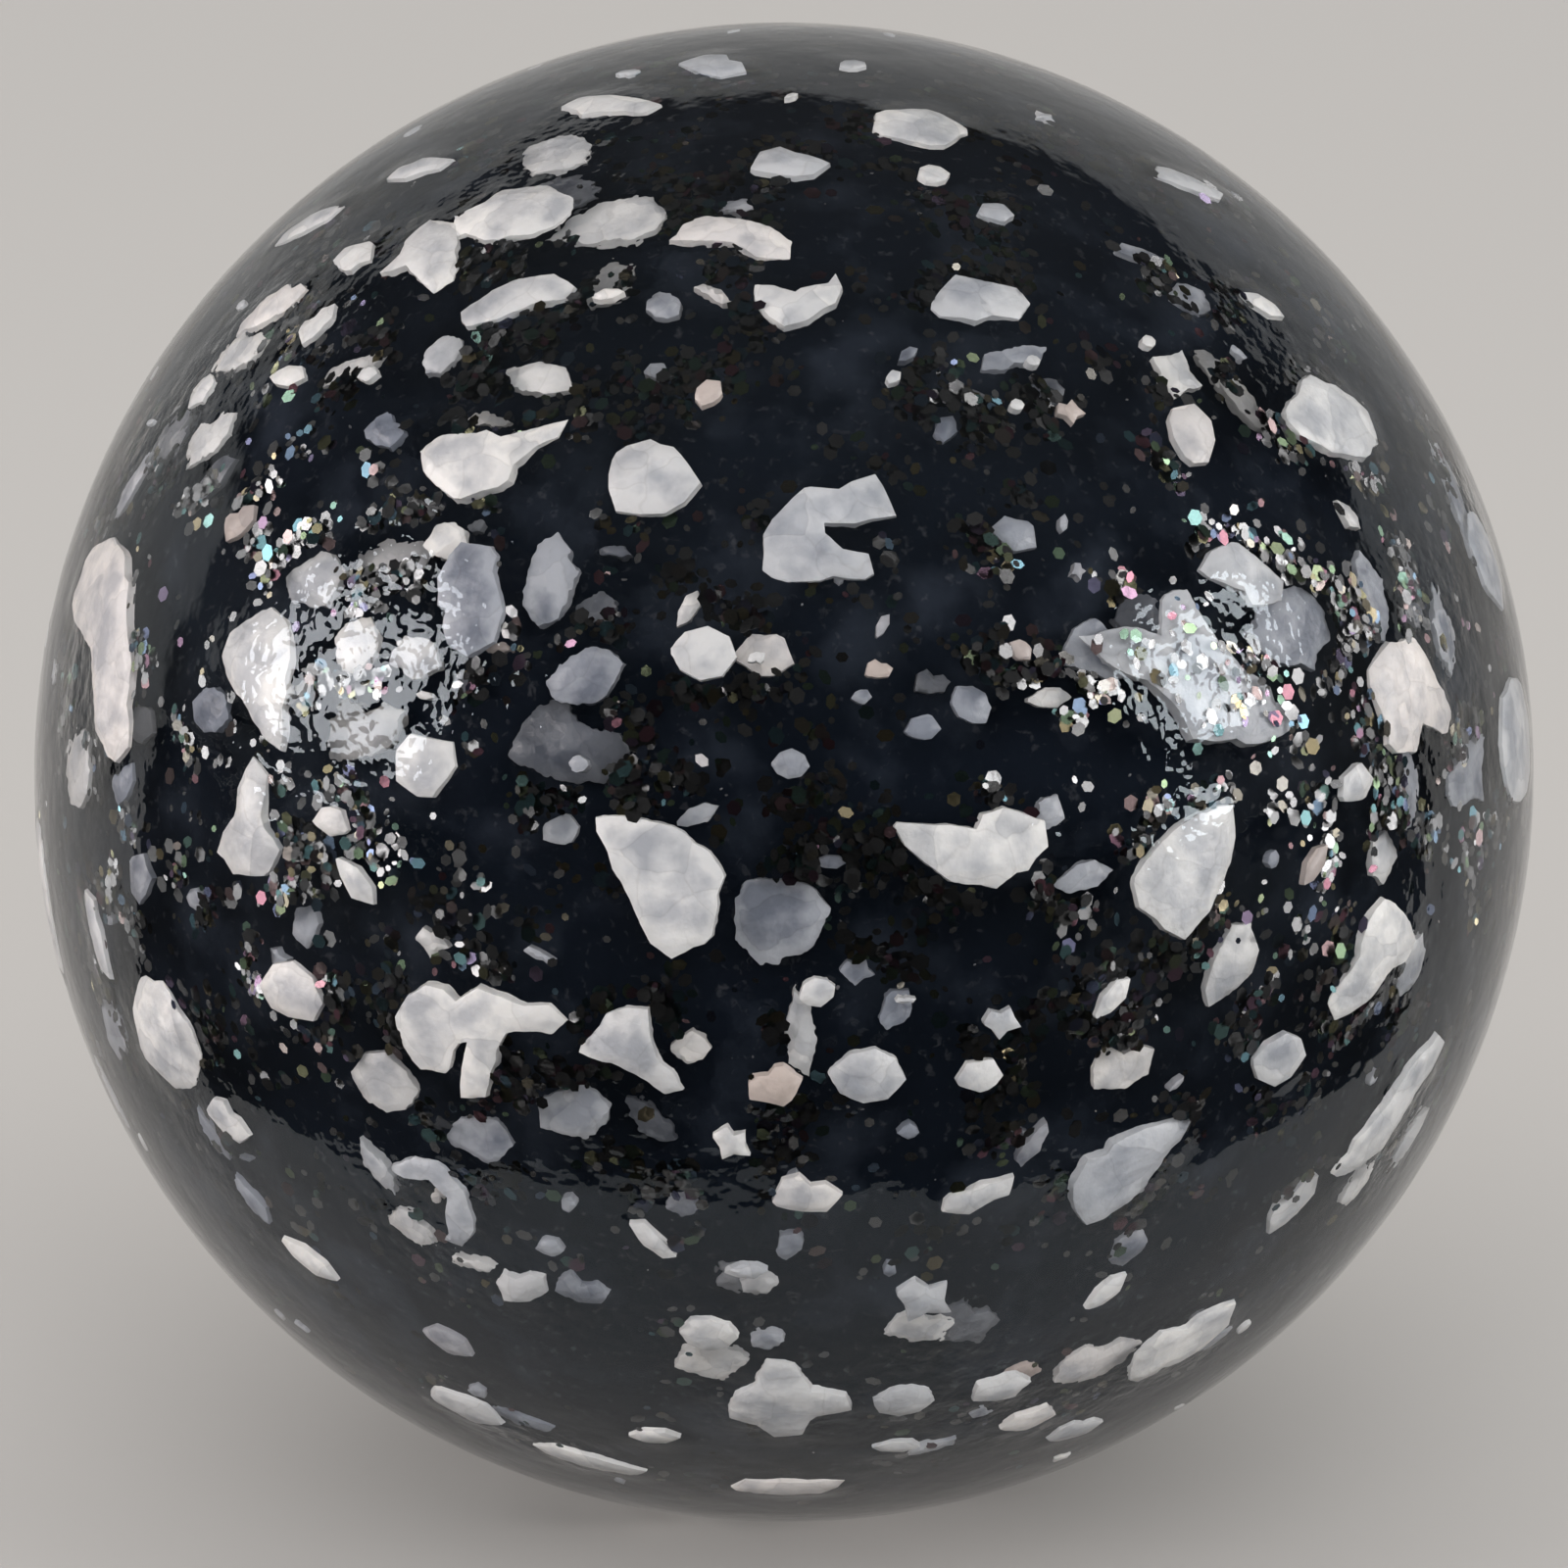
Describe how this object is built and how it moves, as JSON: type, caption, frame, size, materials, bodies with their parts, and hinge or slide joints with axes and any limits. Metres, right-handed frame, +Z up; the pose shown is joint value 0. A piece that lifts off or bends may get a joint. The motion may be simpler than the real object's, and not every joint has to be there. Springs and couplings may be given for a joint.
{
  "type": "cue ball",
  "caption": "Cast cue ball: black core, clear glossy casing, white and grey crushed-shell chips and rainbow glitter flakes set in the casing.",
  "frame": {"origin": "centre of the ball", "axes": "+Z up, away from the point that the ball rests on; -Y faces the side with the large pointed white chip"},
  "size_m": [0.0572, 0.0572, 0.0572],
  "materials": {
    "black_resin": "gloss",
    "clear_resin": "polished clear",
    "white_shell": "satin",
    "grey_shell": "satin",
    "tan_shell": "satin",
    "glitter_film": "iridescent"
  },
  "bodies": {
    "root": {"black_core": "black_resin", "clear_casing": "clear_resin", "tan_chips": "tan_shell", "front_shard": "white_shell", "blue_pebble": "grey_shell", "boat_chip": "white_shell", "hook_chip": "white_shell", "round_chip": "white_shell", "teardrop_chip": "white_shell", "almond_chip": "white_shell", "tall_left_chip": "white_shell", "knob_chip": "white_shell", "square_chip": "white_shell", "lattice_chip": "grey_shell", "glassy_oval": "grey_shell", "grey_round_chip": "grey_shell", "slab_chip": "white_shell", "glitter_slab": "white_shell", "right_leaf": "white_shell", "right_band": "white_shell", "right_rim_oval": "white_shell", "right_rim_tooth": "white_shell", "right_fork": "white_shell", "upper_right_chip": "white_shell", "upper_teardrop": "white_shell", "upper_left_chip": "white_shell", "upper_wedge": "white_shell", "upper_bar": "white_shell", "cup_chip": "white_shell", "lobed_chip": "white_shell", "star_chip": "white_shell", "slanted_chip": "white_shell", "clover_chip": "white_shell", "armed_chip": "white_shell", "low_leaf": "white_shell", "low_slanted_bar": "white_shell", "left_rim_slab": "white_shell", "left_low_block": "white_shell", "ring_chip": "white_shell", "bottom_cross": "white_shell", "white_chips_top": "white_shell", "grey_chips_top": "grey_shell", "glitter_top": "glitter_film", "white_chips_bottom": "white_shell", "grey_chips_bottom": "grey_shell", "glitter_bottom": "glitter_film", "white_chips_front": "white_shell", "grey_chips_front": "grey_shell", "glitter_front": "glitter_film", "white_chips_left": "white_shell", "grey_chips_left": "grey_shell", "glitter_left": "glitter_film", "white_chips_right": "white_shell", "grey_chips_right": "grey_shell", "glitter_right": "glitter_film", "white_chips_back": "white_shell", "grey_chips_back": "grey_shell", "glitter_back": "glitter_film"}
  },
  "joints": []
}
